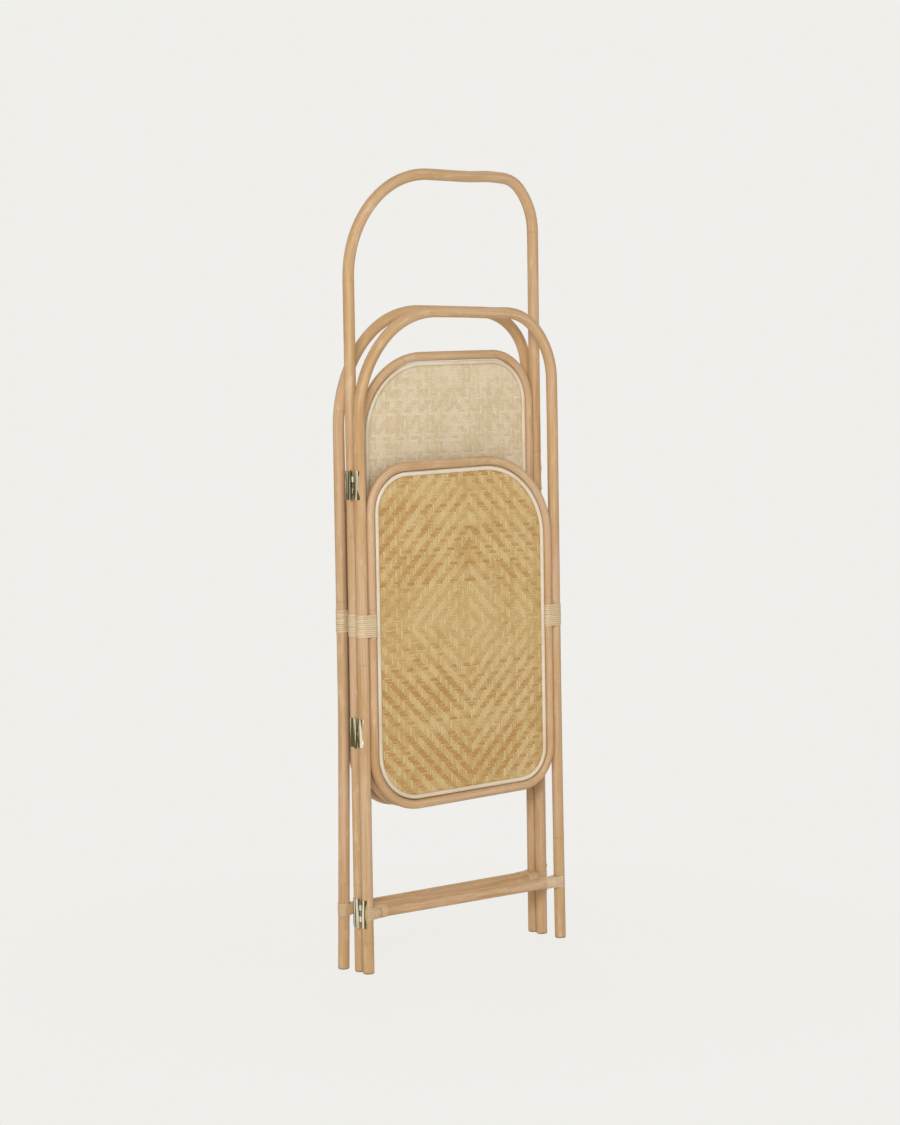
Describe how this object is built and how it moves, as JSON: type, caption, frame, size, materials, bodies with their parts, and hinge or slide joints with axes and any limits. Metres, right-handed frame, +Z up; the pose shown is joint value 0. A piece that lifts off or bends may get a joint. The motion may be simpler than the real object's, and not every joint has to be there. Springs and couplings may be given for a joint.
{
  "type": "folding room divider screen",
  "caption": "Folding room divider screen: hinged arches of bent rattan, each tied round a hoop of herringbone woven cane, with a taller arch in the middle.",
  "frame": {"origin": "on the floor, at the centre of the folded screen's box", "axes": "+Z up; +X along the middle panel, to its right as seen from the front; -Y towards the front panel"},
  "size_m": [0.5862, 0.1366, 1.8],
  "materials": {
    "rattan_pole": "peeled rattan pole, sanded, thin satin lacquer",
    "hoop_rattan": "peeled rattan rod, sanded, thin satin lacquer",
    "woven_cane": "flat cane strips woven in a herringbone twill, satin",
    "cane_bead": "pale half-round cane moulding, satin",
    "binding_cane": "pale binding cane, glossy skin side out",
    "hinge_brass": "bright brass-plated hinge",
    "screw_brass": "brass-plated countersunk screw",
    "screw_steel": "plain zinc-plated screw, hidden"
  },
  "bodies": {
    "middle_panel": {"middle_frame_pole": "rattan_pole", "middle_hoop": "hoop_rattan", "middle_woven_sheet": "woven_cane", "middle_front_bead": "cane_bead", "middle_back_bead": "cane_bead", "middle_crossbar": "rattan_pole", "middle_left_lashing": "binding_cane", "middle_right_lashing": "binding_cane", "middle_left_binding": "binding_cane", "middle_right_binding": "binding_cane", "middle_joint_screws": "screw_steel", "front_low_hinge_fixed_leaf": "hinge_brass", "front_low_hinge_pin": "hinge_brass", "front_middle_hinge_fixed_leaf": "hinge_brass", "front_middle_hinge_pin": "hinge_brass", "front_top_hinge_fixed_leaf": "hinge_brass", "front_top_hinge_pin": "hinge_brass", "front_hinge_fixed_screws": "screw_brass", "back_low_hinge_fixed_leaf": "hinge_brass", "back_low_hinge_pin": "hinge_brass", "back_middle_hinge_fixed_leaf": "hinge_brass", "back_middle_hinge_pin": "hinge_brass", "back_top_hinge_fixed_leaf": "hinge_brass", "back_top_hinge_pin": "hinge_brass", "back_hinge_fixed_screws": "screw_brass"},
    "front_panel": {"front_frame_pole": "rattan_pole", "front_hoop": "hoop_rattan", "front_woven_sheet": "woven_cane", "front_front_bead": "cane_bead", "front_back_bead": "cane_bead", "front_crossbar": "rattan_pole", "front_left_lashing": "binding_cane", "front_right_lashing": "binding_cane", "front_left_binding": "binding_cane", "front_right_binding": "binding_cane", "front_joint_screws": "screw_steel", "front_low_hinge_moving_leaf": "hinge_brass", "front_middle_hinge_moving_leaf": "hinge_brass", "front_top_hinge_moving_leaf": "hinge_brass", "front_hinge_moving_screws": "screw_brass"},
    "back_panel": {"back_frame_pole": "rattan_pole", "back_hoop": "hoop_rattan", "back_woven_sheet": "woven_cane", "back_front_bead": "cane_bead", "back_back_bead": "cane_bead", "back_crossbar": "rattan_pole", "back_left_lashing": "binding_cane", "back_right_lashing": "binding_cane", "back_left_binding": "binding_cane", "back_right_binding": "binding_cane", "back_joint_screws": "screw_steel", "back_low_hinge_moving_leaf": "hinge_brass", "back_middle_hinge_moving_leaf": "hinge_brass", "back_top_hinge_moving_leaf": "hinge_brass", "back_hinge_moving_screws": "screw_brass"}
  },
  "joints": [
    {"name": "front_fold", "type": "hinge", "parent": "middle_panel", "child": "front_panel", "pos_m": [-0.2901, -0.00613, 0], "axis": [0, 0, -1], "range_deg": [-3.4, 176.6]},
    {"name": "back_fold", "type": "hinge", "parent": "middle_panel", "child": "back_panel", "pos_m": [0.2901, 0.02287, 0], "axis": [0, 0, -1], "range_deg": [-1.7, 178.3]}
  ]
}
